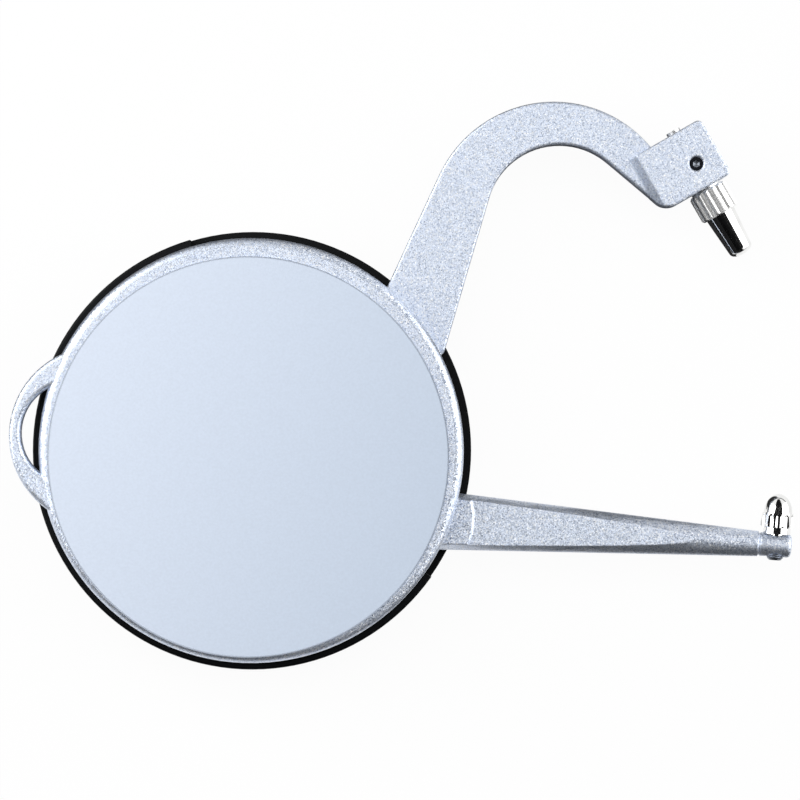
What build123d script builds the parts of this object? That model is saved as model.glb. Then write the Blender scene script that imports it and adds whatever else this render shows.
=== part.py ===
"""Digital thickness gauge with a fixed arm cast on its cover and a swan-necked moving arm.

All sizes are in millimetres. The gauge lies on its display side, so Z points out of its back.
In a view on the back, X runs to the right towards the two contacts, and Y runs up.
The origin is on the moving arm's pivot axis, in the plane that the front rim rests on.
"""

import os
from math import acos, atan2, cos, degrees, hypot, radians, sin, sqrt, tan

from build123d import *

# Turns in degrees
quarter_turn = 90.0
half_turn = 180.0

# Moulded case, whose open side is closed by the casting
case_radius = 30.0
case_wall = 1.8
front_wall = 1.8
rim_height = 0.6
rim_width = 1.6
rim_rounding = 0.6
wall_rounding = 0.35
slot_start_angle = -35.3
slot_end_angle = 106.5
slot_floor_gap = 0.5

# Cast cover
cover_setback = 1.15
cover_height = 5.0
cover_wall = 1.6
cover_top = 1.8
cover_rounding = 1.15
cover_rib_count = 6
cover_rib_width = 1.2
cover_rib_depth = 1.4
cover_rib_turn = 28.0

# Lanyard loop cast on the cover
loop_angle = 174.5
loop_reach = 4.1
loop_band = 1.55
loop_outer_radius = 12.2
loop_inner_radius = 6.9
loop_height = 3.4
loop_top_gap = 0.15
loop_rounding = 0.6

# Back label, stuck on a little out of centre
label_margin = 1.65
label_thickness = 0.2
label_shift_x = -0.36
label_shift_y = -0.86

# Where the contact tips stand, seen from the pivot axis
tip_reach = 72.45
upper_tip_angle = 21.77
lower_tip_angle = -4.77
upper_contact_angle = -60.0

# Fixed lower arm: a taper with a flat above and below
lower_arm_slope = -4.2
lower_arm_root_radius = 3.74
lower_arm_end_radius = 1.73
lower_arm_taper_length = 38.5
lower_arm_half_depth = 2.2
root_step = 0.25
root_lap = 0.05
root_step_reach = 1.9
root_step_curve = 9.0
root_overlap = 7.0
end_boss_radius = 1.62
end_boss_half_length = 2.1
end_boss_rounding = 0.55
end_groove_width = 0.4
end_groove_depth = 0.15

# Moving hook arm
plate_thickness = 3.8
arm_gap = 0.2
outer_root_x = 18.7
outer_root_y = 22.85
outer_edge_angle = 65.1
inner_root_x = 26.25
inner_root_y = 13.41
inner_edge_angle = 73.7
neck_inner_share = 0.44185
neck_outer_share = 0.5194
neck_inner_rise = 5.9
neck_outer_rise = 11.78
neck_outer_end_angle = 38.0
hub_radius = 12.0
hub_neck_angle = -5.0
hub_collar_radius = 5.5
hub_collar_height = 0.5
plate_rounding = 0.35

# Block at the end of the hook arm
block_left = 7.3
block_right = 3.85
block_depth = 8.6
block_rise = 1.3
block_drop = 0.9
block_bevel = 1.1
block_corner = 0.75
block_heel = 6.367
block_heel_radius = 2.5
block_rounding = 0.25

# Contacts
shank_radius = 1.0
shank_gap = 0.02
shank_stand_out = 0.45
upper_neck_radius = 2.2
upper_neck_length = 0.25
upper_collar_radius = 2.73
upper_collar_length = 3.85
upper_collar_bevel = 0.3
upper_flute_count = 16
upper_flute_radius = 0.62
upper_flute_depth = 0.22
upper_cone_start_radius = 2.12
upper_cone_end_radius = 1.68
upper_cone_length = 5.4
upper_cap_height = 0.9
lower_thread_radius = 1.05
lower_thread_stand_out = 0.45
lower_thread_bevel = 0.3
lower_foot_radius = 1.9
lower_foot_length = 0.85
lower_collar_radius = 2.28
lower_collar_tip_radius = 2.12
lower_collar_length = 2.05
lower_collar_bevel = 0.25
lower_dome_radius = 1.95
lower_dome_height = 2.6
lower_flute_count = 12
lower_flute_radius = 0.62
lower_flute_depth = 0.27
lower_flute_length = 1.6
lower_flute_run_out = 0.6
lower_flute_taper_angle = 20.0
spot_face_depth = 0.12
spot_face_gap = 0.1

# Set screw that clamps the upper contact
set_screw_radius = 0.9
set_screw_gap = 0.02
set_screw_sink = 0.15
set_screw_offset = 0.35
set_screw_along = 3.5
set_screw_lead_in = 0.2
hex_size = 0.9
hex_depth = 0.6

# Pivot
shaft_radius = 2.5
shaft_tail = 0.3
shaft_chamfer = 0.2
bore_cover = 0.8
press_gap = 0.01
running_gap = 0.03
bush_wall = 1.0
bush_flange_radius = 4.6
bush_flange_thickness = 0.5
bush_end_gap = 0.1
boss_radius = 5.5
spring_washer_thickness = 0.2
spring_washer_bow = 0.25
spring_washer_gap = 0.2
washer_room = 0.6
washer_margin = 0.2
thrust_washer_thickness = 0.4
retaining_ring_thickness = 0.5
retaining_ring_radius = 4.0
retaining_ring_mouth = 2.6
groove_depth = 0.5
axial_gap = 0.05

# Stop pin, and the travel that it gives the hook arm from where it stands
stop_radius = 8.5
stop_angle = 200.0
stop_pin_radius = 1.0
stop_pin_gap = 0.08
stop_boss_radius = 1.9
stop_pin_end_gap = 0.3
close_angle = 26.3
open_angle = 13.0
stop_slack_angle = 0.6

# Display
lcd_length = 34.0
lcd_width = 14.0
lcd_thickness = 1.85
lcd_gap = 0.15
lcd_post_gap = 0.235
lcd_frame_wall = 0.8
lcd_frame_share = 0.8
window_end_lap = 2.0
window_side_lap = 1.5
lens_lap = 2.0
lens_thickness = 1.0
lens_sink = 0.1
lens_gap = 0.1
lens_corner = 1.5
zebra_end_gap = 2.0
zebra_width = 1.6
zebra_height = 0.9
zebra_inset = 0.4

# Circuit board and encoder
board_thickness = 1.0
board_margin = 2.2
board_hole_radius = 5.0
board_cell_gap = 0.4
board_post_gap = 0.3
encoder_gap = 0.35
rotor_thickness = 0.45
rotor_cell_gap = 0.3
rotor_flange_gap = 0.4
chip_radius = 3.5
chip_height = 1.1
chip_rounding = 0.8
chip_inset = 9.0
chip_y = 7.5

# Screws and the posts that they go into
post_angles = (120.0, 178.0, 240.0, 302.0)
post_radius = 2.6
post_wall_gap = 1.6
post_web = 1.2
screw_radius = 1.0
screw_hole_gap = 0.1
thread_gap = 0.03
case_screw_length = 8.5
case_screw_head_radius = 1.9
case_screw_sink = 0.05
board_post_count = 3
board_post_turn = 76.0
board_post_radius = 2.0
board_post_inset = 3.0
board_screw_length = 2.6
board_screw_head_radius = 1.7
board_screw_head_height = 0.9
cross_width = 0.45
cross_depth = 0.5

# Keys
button_spacing = 12.0
button_radius = 3.0
button_gap = 0.08
button_proud = 0.45
button_rounding = 0.4
button_flange_radius = 3.8
button_flange_thickness = 0.6
button_flange_gap = 0.1
button_stem_radius = 1.5
button_travel = 0.5
button_gap_share = 0.18
key_mat_margin = 1.2
key_mat_thickness = 0.4
key_dome_radius = 1.9
key_dome_height = 0.35
key_dome_gap = 0.1
key_dome_slope = 40.0

# Battery and its cap
cell_radius = 5.8
cell_height = 5.4
cell_step_height = 0.5
cell_step = 1.1
cell_rounding = 0.3
cap_recess_gap = 0.15
cap_plug_wall = 0.65
cap_gap = 0.08
cap_flange = 0.8
cap_flange_thickness = 0.75
cap_floor = 1.3
cap_proud = 0.4
cap_lug_reach = 0.6
cap_lug_width = 3.4
cap_lug_thickness = 0.7
cap_lug_gap = 0.1
cap_turn = 50.0
coin_slot_width = 1.4
coin_slot_length = 10.0
coin_slot_depth = 0.6
well_wall = 0.7
well_case_gap = 0.6
seal_thickness = 0.3
seal_width = 0.5
contact_strip = 0.2
contact_strip_width = 2.4
contact_post_gap = 0.3
contact_rise_run = 1.0
contact_ramp_gap = 0.3
contact_overrun = 1.0
contact_leg = 1.2

# Heights from the resting plane up
front_inner = rim_height + front_wall
lcd_bottom = front_inner + axial_gap
board_bottom = lcd_bottom + lcd_thickness + zebra_height
board_top = board_bottom + board_thickness
rotor_bottom = board_top + encoder_gap
plate_bottom = rotor_bottom + rotor_thickness
plate_top = plate_bottom + plate_thickness
case_height = plate_top + arm_gap
cover_face = case_height + cover_height
cover_ceiling = cover_face - cover_top
measuring_height = case_height + root_lap + root_step - lower_arm_half_depth
slot_floor = measuring_height - lower_arm_half_depth - slot_floor_gap
hub_top = plate_top + hub_collar_height
boss_bottom = hub_top + bush_flange_thickness + washer_room
bore_top = cover_face - bore_cover
flange_bottom = plate_bottom - bush_flange_thickness
washer_bottom = flange_bottom - axial_gap - thrust_washer_thickness
retainer_bottom = washer_bottom - retaining_ring_thickness
shaft_bottom = retainer_bottom - shaft_tail

# Radii and places that follow from the sizes above
case_inner = case_radius - case_wall
cover_radius = case_radius - cover_setback
label_radius = cover_radius - label_margin
board_radius = case_inner - board_margin
post_circle = case_inner - post_wall_gap - post_radius
post_places = [
    (post_circle * cos(radians(angle)), post_circle * sin(radians(angle))) for angle in post_angles
]
board_post_circle = board_radius - board_post_inset
bush_radius = shaft_radius + bush_wall
cap_recess_radius = cell_radius + cap_recess_gap
cap_plug_radius = cap_recess_radius + cap_plug_wall
cap_flange_radius = cap_plug_radius + cap_flange
cap_lug_radius = cap_plug_radius + cap_lug_reach
cap_face = rim_height - cap_proud
cap_seat = cap_face + cap_flange_thickness + seal_thickness + axial_gap
well_inner = cap_lug_radius + cap_lug_gap
well_outer = well_inner + well_wall
cell_y = -(case_inner - well_case_gap - well_outer)
cap_top = front_inner + cap_lug_gap + cap_lug_thickness
cell_bottom = cap_face + cap_floor + axial_gap
cell_top = cell_bottom + cell_height
cell_hole_radius = cell_radius + board_cell_gap
frame_border = lcd_gap + lcd_frame_wall
lcd_offset = post_places[0][1] - post_radius - lcd_post_gap - frame_border - lcd_width / 2
window_length = lcd_length - 2 * window_end_lap
window_width = lcd_width - 2 * window_side_lap
lens_length = window_length + 2 * lens_lap
lens_width = window_width + 2 * lens_lap
rotor_radius = -cell_y - cell_radius - rotor_cell_gap
chip_x = chip_inset - board_radius
contact_foot = -post_places[2][0] - post_radius - contact_post_gap - cell_hole_radius - contact_ramp_gap
well_top = cell_y + well_outer
button_room = lcd_offset - lcd_width / 2 - frame_border - well_top - 2 * button_flange_radius
button_y = well_top + button_gap_share * button_room + button_flange_radius
button_places = [(x, button_y) for x in (-button_spacing, 0, button_spacing)]
button_stem_top = board_bottom - key_mat_thickness - key_dome_height - button_travel - key_dome_gap


def shifted(point, angle, distance):
    """The point at a distance from another, in a direction given in degrees from X."""
    turn = radians(angle)
    return (point[0] + distance * cos(turn), point[1] + distance * sin(turn))


def level(point, height):
    """The point of the plan at a height above the resting plane."""
    return (point[0], point[1], height)


def heading(angle):
    """The direction in the plan at an angle in degrees from X."""
    return (cos(radians(angle)), sin(radians(angle)), 0)


def bend_radius(edge_point, edge_angle, apex):
    """The radius of the arc that leaves a straight edge smoothly and is level at its apex."""
    turn = radians(edge_angle)
    across = (apex[0] - edge_point[0]) * sin(turn) - (apex[1] - edge_point[1]) * cos(turn)
    return across / (1 - cos(turn))


def touch_angle(centre, radius, point):
    """Where a tangent from a point touches a circle, as a direction in degrees from the centre."""
    run = point[0] - centre[0]
    rise = point[1] - centre[1]
    return degrees(atan2(rise, run) + acos(radius / hypot(run, rise)))


def washer(inner_radius, outer_radius, bottom, thickness):
    """A flat ring about the pivot axis."""
    with BuildPart() as ring:
        with BuildSketch(Plane.XY.offset(bottom)):
            Circle(outer_radius)
            Circle(inner_radius, mode=Mode.SUBTRACT)
        extrude(amount=thickness)
    return ring


pivot = (0.0, 0.0)
cell_place = (0.0, cell_y)
upper_contact_length = upper_neck_length + upper_collar_length + upper_cone_length + upper_cap_height
lower_seat = end_boss_radius - spot_face_depth
lower_contact_height = lower_seat + lower_foot_length + lower_collar_length + lower_dome_height
lower_contact_angle = lower_arm_slope + quarter_turn
upper_tip = shifted(pivot, upper_tip_angle, tip_reach)
lower_tip = shifted(pivot, lower_tip_angle, tip_reach)
block_seat = shifted(upper_tip, upper_contact_angle + half_turn, upper_contact_length)
arm_end = shifted(lower_tip, lower_contact_angle + half_turn, lower_contact_height)

# Front housing: the moulded black case
with BuildPart() as front_housing:
    with BuildSketch(Plane.XZ):
        with BuildLine():
            Polyline(
                (0, rim_height),
                (case_radius - rim_width, rim_height),
                (case_radius - rim_width, 0),
                (case_radius, 0),
                (case_radius, case_height),
                (case_inner, case_height),
                (case_inner, front_inner),
                (0, front_inner),
                close=True,
            )
        make_face()
    revolve(axis=Axis.Z)
    outer_edges = front_housing.edges().filter_by(GeomType.CIRCLE).filter_by(
        lambda edge: abs(edge.radius - case_radius) < press_gap
    )
    fillet(outer_edges.sort_by(Axis.Z)[0], rim_rounding)
    fillet(outer_edges.sort_by(Axis.Z)[-1], wall_rounding)

    # Arm slot: the wall is lower from one step to the other
    slot_sweep = slot_end_angle - slot_start_angle
    with BuildSketch(Plane.XY.offset(slot_floor)):
        with BuildLine():
            near = CenterArc(pivot, case_inner - wall_rounding, slot_start_angle, slot_sweep)
            far = CenterArc(pivot, case_radius + rim_width, slot_start_angle, slot_sweep)
            Line(near @ 0, far @ 0)
            Line(near @ 1, far @ 1)
        make_face()
    extrude(amount=case_height, mode=Mode.SUBTRACT)

    # Frame that holds the display glass
    with BuildSketch(Plane.XY.offset(front_inner)):
        with Locations((0, lcd_offset)):
            Rectangle(lcd_length + 2 * frame_border, lcd_width + 2 * frame_border)
            Rectangle(lcd_length + 2 * lcd_gap, lcd_width + 2 * lcd_gap, mode=Mode.SUBTRACT)
    extrude(amount=lcd_thickness * lcd_frame_share)

    # Well round the battery cap's lugs
    with BuildSketch(Plane.XY.offset(front_inner)):
        with Locations(cell_place):
            Circle(well_outer)
            Circle(well_inner, mode=Mode.SUBTRACT)
    extrude(amount=board_bottom - front_inner - axial_gap)

    # Screw posts for the casting, tied to the wall, and lower ones for the board
    web_reach = post_radius + post_wall_gap + case_wall / 2
    for angle in post_angles:
        with BuildSketch(Plane.XY.offset(front_inner)):
            with PolarLocations(post_circle, 1, start_angle=angle):
                Circle(post_radius)
                Rectangle(web_reach, post_web, align=(Align.MIN, Align.CENTER))
        extrude(amount=case_height - front_inner)
        with BuildSketch(Plane.XY.offset(case_height)):
            with PolarLocations(post_circle, 1, start_angle=angle):
                Circle(screw_radius + thread_gap)
        extrude(amount=-(case_height - front_inner), mode=Mode.SUBTRACT)
    with BuildSketch(Plane.XY.offset(front_inner)):
        with PolarLocations(board_post_circle, board_post_count, start_angle=board_post_turn):
            Circle(board_post_radius)
            Circle(screw_radius + thread_gap, mode=Mode.SUBTRACT)
    extrude(amount=board_bottom - front_inner)

    # Window with a seat for the lens
    with BuildSketch(Plane.XY):
        with Locations((0, lcd_offset)):
            Rectangle(window_length, window_width)
    extrude(amount=front_inner, mode=Mode.SUBTRACT)
    with BuildSketch(Plane.XY):
        with Locations((0, lcd_offset)):
            RectangleRounded(lens_length + 2 * lens_gap, lens_width + 2 * lens_gap, lens_corner + lens_gap)
    extrude(amount=rim_height + lens_sink + lens_thickness, mode=Mode.SUBTRACT)

    # Key holes
    with BuildSketch(Plane.XY):
        with Locations(button_places):
            Circle(button_radius + button_gap)
    extrude(amount=front_inner, mode=Mode.SUBTRACT)

    # Battery cap's seat, its hole, and two lug notches that an anticlockwise turn of the cap reaches
    with BuildSketch(Plane.XY):
        with Locations(cell_place):
            Circle(cap_flange_radius + cap_gap)
    extrude(amount=cap_seat, mode=Mode.SUBTRACT)
    with BuildSketch(Plane.XY):
        with Locations(cell_place):
            Circle(cap_plug_radius + cap_gap)
    extrude(amount=front_inner, mode=Mode.SUBTRACT)
    with BuildSketch(Plane.XY):
        with Locations(cell_place):
            Circle(well_inner)
            notch_width = cap_lug_width + 2 * cap_lug_gap
            Rectangle(2 * well_inner, notch_width, rotation=-cap_turn, mode=Mode.INTERSECT)
    extrude(amount=front_inner, mode=Mode.SUBTRACT)

# Lower arm: a taper about its own axis, cut to two flats, which the casting takes in
arm_back = lower_arm_slope + half_turn
root_place = end_boss_half_length + lower_arm_taper_length
root_point = shifted(arm_end, arm_back, root_place)
along_back = root_point[0] * cos(radians(arm_back)) + root_point[1] * sin(radians(arm_back))
root_square = root_point[0] ** 2 + root_point[1] ** 2
inner_reach = cover_radius - root_overlap
root_run = -along_back - sqrt(along_back**2 - root_square + inner_reach**2)
taper_rate = (lower_arm_root_radius - lower_arm_end_radius) / lower_arm_taper_length
arm_length = root_place + root_run
arm_axis = Axis(level(arm_end, measuring_height), heading(arm_back))
arm_plane = Plane(origin=level(arm_end, measuring_height), x_dir=heading(arm_back), z_dir=(0, 0, 1))
with BuildPart() as arm_flats:
    with BuildSketch(arm_plane.offset(-lower_arm_half_depth)):
        Rectangle(2 * arm_length, 2 * arm_length)
    extrude(amount=2 * lower_arm_half_depth)
    # Pad with a sloped round end, where the arm leaves the case
    pad_end = root_place + sqrt(root_square) - case_radius - root_step_reach
    with BuildSketch(arm_plane.offset(lower_arm_half_depth)):
        with Locations((pad_end + root_step_curve, 0)):
            Circle(root_step_curve)
    extrude(amount=root_step, taper=quarter_turn / 2)
with BuildPart() as lower_arm:
    # Round boss that carries the contact, a fine groove, and the taper
    with BuildSketch(arm_plane):
        with BuildLine():
            Polyline(
                (-end_boss_half_length, 0),
                (-end_boss_half_length, end_boss_radius),
                (end_boss_half_length, end_boss_radius),
                (end_boss_half_length + end_groove_width / 2, end_boss_radius - end_groove_depth),
                (end_boss_half_length + end_groove_width, lower_arm_end_radius),
                (arm_length, lower_arm_root_radius + taper_rate * root_run),
                (arm_length, 0),
                close=True,
            )
        make_face()
    revolve(axis=arm_axis)
    add(arm_flats.part, mode=Mode.INTERSECT)
    fillet(lower_arm.edges().filter_by(GeomType.CIRCLE).sort_by(arm_axis)[0], end_boss_rounding)

# Lanyard loop: a rounded eccentric ring, cut off inside the cover's skirt
with BuildPart() as lanyard_loop:
    loop_end = cover_radius + loop_reach
    with BuildSketch(Plane.XY.offset(cover_face - loop_top_gap)):
        with PolarLocations(loop_end - loop_outer_radius, 1, start_angle=loop_angle):
            Circle(loop_outer_radius)
        with PolarLocations(loop_end - loop_band - loop_inner_radius, 1, start_angle=loop_angle):
            Circle(loop_inner_radius, mode=Mode.SUBTRACT)
    extrude(amount=-loop_height)
    fillet(lanyard_loop.edges().filter_by(GeomType.CIRCLE), loop_rounding)
    with BuildSketch(Plane.XY.offset(cover_face)):
        Circle(cover_radius - cover_wall / 2)
    extrude(amount=-cover_height, mode=Mode.SUBTRACT)

# Rear casting: cover, lower arm and lanyard loop in one piece
with BuildPart() as rear_casting:
    with BuildSketch(Plane.XZ):
        with BuildLine():
            Polyline(
                (0, cover_face),
                (cover_radius, cover_face),
                (cover_radius, case_height),
                (cover_radius - cover_wall, case_height),
                (cover_radius - cover_wall, cover_ceiling),
                (boss_radius, cover_ceiling),
                (boss_radius, boss_bottom),
                (0, boss_bottom),
                close=True,
            )
        make_face()
    revolve(axis=Axis.Z)
    fillet(rear_casting.edges().filter_by(GeomType.CIRCLE).group_by(Axis.Z)[-1], cover_rounding)
    add(lower_arm.part)
    add(lanyard_loop.part)

    # Root block that ties the lower arm to the cover's inside
    with BuildSketch(arm_plane.offset(-lower_arm_half_depth)):
        with Locations((arm_length, 0)):
            Rectangle(root_overlap - cover_wall, 2 * lower_arm_root_radius, align=(Align.MAX, Align.CENTER))
    extrude(amount=cover_ceiling - measuring_height + lower_arm_half_depth)

    # Bosses for the case screws and the stop pin
    with BuildSketch(Plane.XY.offset(case_height)):
        with Locations(post_places):
            Circle(post_radius)
    extrude(amount=cover_ceiling - case_height)
    with BuildSketch(Plane.XY.offset(boss_bottom)):
        with PolarLocations(stop_radius, 1, start_angle=stop_angle):
            Circle(stop_boss_radius)
    extrude(amount=cover_ceiling - boss_bottom)

    # Ribs from the pivot boss to the skirt
    with BuildSketch(Plane.XY.offset(cover_ceiling - cover_rib_depth)):
        with PolarLocations(0, cover_rib_count, start_angle=cover_rib_turn):
            Rectangle(cover_radius - cover_wall / 2, cover_rib_width, align=(Align.MIN, Align.CENTER))
    extrude(amount=cover_rib_depth)

    # Bores for the pivot shaft, the stop pin and the case screws
    with BuildSketch(Plane.XY.offset(boss_bottom)):
        Circle(shaft_radius + press_gap)
        with PolarLocations(stop_radius, 1, start_angle=stop_angle):
            Circle(stop_pin_radius + press_gap)
    extrude(amount=bore_top - boss_bottom, mode=Mode.SUBTRACT)
    for place in post_places:
        with Locations(level(place, cover_face)):
            CounterSinkHole(
                screw_radius + screw_hole_gap,
                case_screw_head_radius + case_screw_sink + screw_hole_gap,
                depth=cover_height,
                counter_sink_angle=quarter_turn,
            )

    # Spot face and bore for the lower contact
    contact_plane = Plane(
        origin=level(arm_end, measuring_height), x_dir=(0, 0, 1), z_dir=heading(lower_contact_angle)
    )
    with BuildSketch(contact_plane.offset(lower_seat)):
        Circle(lower_foot_radius + spot_face_gap)
    extrude(amount=lower_foot_length, mode=Mode.SUBTRACT)
    with BuildSketch(contact_plane):
        Circle(lower_thread_radius + shank_gap)
    extrude(amount=end_boss_radius + lower_thread_stand_out, both=True, mode=Mode.SUBTRACT)

# Block at the end of the hook arm, cut from its plan and its side view
block_angle = upper_contact_angle + quarter_turn
block_plane = Plane(origin=level(block_seat, 0), x_dir=heading(block_angle), z_dir=(0, 0, 1))
side_plane = Plane(
    origin=level(block_seat, 0), x_dir=heading(block_angle), z_dir=heading(upper_contact_angle)
)
inner_root = (inner_root_x, inner_root_y)
outer_root = (outer_root_x, outer_root_y)
inner_apex_x = inner_root_x + neck_inner_share * (block_seat[0] - inner_root_x)
outer_apex_x = outer_root_x + neck_outer_share * (block_seat[0] - outer_root_x)
inner_apex = (inner_apex_x, block_seat[1] + neck_inner_rise)
outer_apex = (outer_apex_x, block_seat[1] + neck_outer_rise)
inner_bend = bend_radius(inner_root, inner_edge_angle, inner_apex)
outer_bend = bend_radius(outer_root, outer_edge_angle, outer_apex)
inner_centre = (inner_apex[0], inner_apex[1] - inner_bend)
outer_centre = (outer_apex[0], outer_apex[1] - outer_bend)
heel = shifted(block_seat, block_angle + half_turn, block_heel)
neck_end_angle = touch_angle(inner_centre, inner_bend, heel)
inner_far_end = shifted(inner_centre, neck_end_angle, inner_bend)
heel_turn = block_angle + quarter_turn - neck_end_angle
heel_left_y = (block_left - block_heel) * tan(radians(heel_turn))
heel_tangent = block_heel_radius * tan(radians(heel_turn / 2))
block_bottom = plate_bottom - block_drop
block_top = plate_top + block_rise
with BuildPart() as end_block:
    with BuildSketch(block_plane.offset(block_bottom)) as block_plan:
        with BuildLine():
            Polyline(
                (-block_left, block_depth),
                (-block_left, heel_left_y),
                (-block_heel, 0),
                (block_right, 0),
                (block_right, block_depth),
                close=True,
            )
        make_face()
        fillet(block_plan.vertices().group_by(Axis.X)[-1], block_corner)
        fillet(block_plan.vertices().group_by(Axis.Y)[0].sort_by(Axis.X)[0], block_heel_radius)
    extrude(amount=block_top - block_bottom)
    with BuildSketch(side_plane):
        with BuildLine():
            Polyline(
                (-block_left, plate_bottom),
                (block_bevel - block_left, block_bottom),
                (block_right, block_bottom),
                (block_right, block_top),
                (block_bevel - block_left, block_top),
                (-block_left, plate_top),
                close=True,
            )
        make_face()
    extrude(amount=2 * block_depth, both=True, mode=Mode.INTERSECT)
    broad_faces = end_block.faces().filter_by(Axis.Z)
    fillet(broad_faces.edges(), block_rounding)

# Hook arm: hub, flat swan neck and end block in one casting
edge_turn = radians(outer_edge_angle)
outer_run = outer_root_x * cos(edge_turn) + outer_root_y * sin(edge_turn)
block_middle = block_plane.from_local_coords(Vector(-block_left / 2, block_depth / 2, 0))
with BuildPart() as hook_arm:
    with BuildSketch(Plane.XY.offset(plate_bottom)):
        with BuildLine():
            Polyline(
                shifted(outer_root, outer_edge_angle + half_turn, outer_run),
                shifted(pivot, hub_neck_angle, hub_radius),
                inner_root,
                shifted(inner_centre, inner_edge_angle + quarter_turn, inner_bend),
            )
            inner_sweep = inner_edge_angle + quarter_turn - neck_end_angle
            CenterArc(inner_centre, inner_bend, neck_end_angle, inner_sweep)
            Polyline(
                inner_far_end,
                shifted(heel, neck_end_angle + quarter_turn, heel_tangent),
                (block_middle.X, block_middle.Y),
                shifted(outer_centre, neck_outer_end_angle, outer_bend),
            )
            outer_sweep = outer_edge_angle + quarter_turn - neck_outer_end_angle
            CenterArc(outer_centre, outer_bend, neck_outer_end_angle, outer_sweep)
            Line(
                shifted(outer_centre, outer_edge_angle + quarter_turn, outer_bend),
                shifted(outer_root, outer_edge_angle + half_turn, outer_run),
            )
        make_face()
        Circle(hub_radius)
    extrude(amount=plate_thickness)
    fillet(hook_arm.faces().filter_by(Axis.Z).edges(), plate_rounding)
    add(end_block.part)

    # Bearing bore with its collar, and the arc slot for the stop pin
    with BuildSketch(Plane.XY.offset(plate_bottom)):
        Circle(hub_collar_radius)
    extrude(amount=hub_top - plate_bottom)
    with BuildSketch(Plane.XY.offset(plate_bottom)):
        Circle(bush_radius + press_gap)
        slot_turn = open_angle + close_angle + 2 * stop_slack_angle
        slot_path = CenterArc(pivot, stop_radius, stop_angle - open_angle - stop_slack_angle, slot_turn)
        SlotArc(slot_path, 2 * (stop_pin_radius + stop_pin_gap))
    extrude(amount=hub_top - plate_bottom, mode=Mode.SUBTRACT)

    # Bore for the contact's shank, and the threaded hole of the set screw above it
    with BuildSketch(side_plane.offset(shank_stand_out)):
        with Locations((0, measuring_height)):
            Circle(shank_radius + shank_gap)
    extrude(amount=-(block_depth + 2 * shank_stand_out), mode=Mode.SUBTRACT)
    with BuildSketch(block_plane.offset(measuring_height)):
        with Locations((set_screw_offset, set_screw_along)):
            Circle(set_screw_radius + set_screw_gap)
    extrude(amount=block_top - measuring_height, mode=Mode.SUBTRACT)
    with BuildSketch(block_plane.offset(block_top)):
        with Locations((set_screw_offset, set_screw_along)):
            Circle(set_screw_radius + set_screw_gap + set_screw_lead_in)
    extrude(amount=-set_screw_lead_in, taper=quarter_turn / 2, mode=Mode.SUBTRACT)

# Set screw with its hexagon socket
with BuildPart() as contact_set_screw:
    with BuildSketch(block_plane.offset(measuring_height + shank_radius + axial_gap)):
        with Locations((set_screw_offset, set_screw_along)):
            Circle(set_screw_radius)
    extrude(amount=block_top - set_screw_sink - measuring_height - shank_radius - axial_gap)
    with BuildSketch(block_plane.offset(block_top - set_screw_sink)):
        with Locations((set_screw_offset, set_screw_along)):
            RegularPolygon(hex_size / 2, 6, major_radius=False)
    extrude(amount=-hex_depth, mode=Mode.SUBTRACT)

# Upper contact: shank, fluted collar and long rounded cone
upper_start = level(block_seat, measuring_height)
upper_collar_end = upper_neck_length + upper_collar_length
upper_cone_end = upper_collar_end + upper_cone_length
with BuildPart() as upper_contact:
    with BuildSketch(Plane(origin=upper_start, x_dir=heading(upper_contact_angle), z_dir=(0, 0, 1))):
        with BuildLine():
            Polyline(
                (upper_cone_end + upper_cap_height, 0),
                (-block_depth - shank_stand_out, 0),
                (-block_depth - shank_stand_out, shank_radius),
                (0, shank_radius),
                (0, upper_neck_radius),
                (upper_neck_length, upper_neck_radius),
                (upper_neck_length, upper_collar_radius - upper_collar_bevel),
                (upper_neck_length + upper_collar_bevel, upper_collar_radius),
                (upper_collar_end - upper_collar_bevel, upper_collar_radius),
                (upper_collar_end, upper_collar_radius - upper_collar_bevel),
                (upper_collar_end, upper_cone_start_radius),
                (upper_cone_end, upper_cone_end_radius),
            )
            EllipticalCenterArc(
                (upper_cone_end, 0),
                upper_cap_height,
                upper_cone_end_radius,
                start_angle=0,
                arc_size=quarter_turn,
            )
        make_face()
    revolve(axis=Axis(upper_start, heading(upper_contact_angle)))
    with BuildSketch(side_plane.offset(upper_neck_length)):
        with Locations((0, measuring_height)):
            with PolarLocations(
                upper_collar_radius + upper_flute_radius - upper_flute_depth, upper_flute_count
            ):
                Circle(upper_flute_radius)
    extrude(amount=upper_collar_length, mode=Mode.SUBTRACT)

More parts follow.
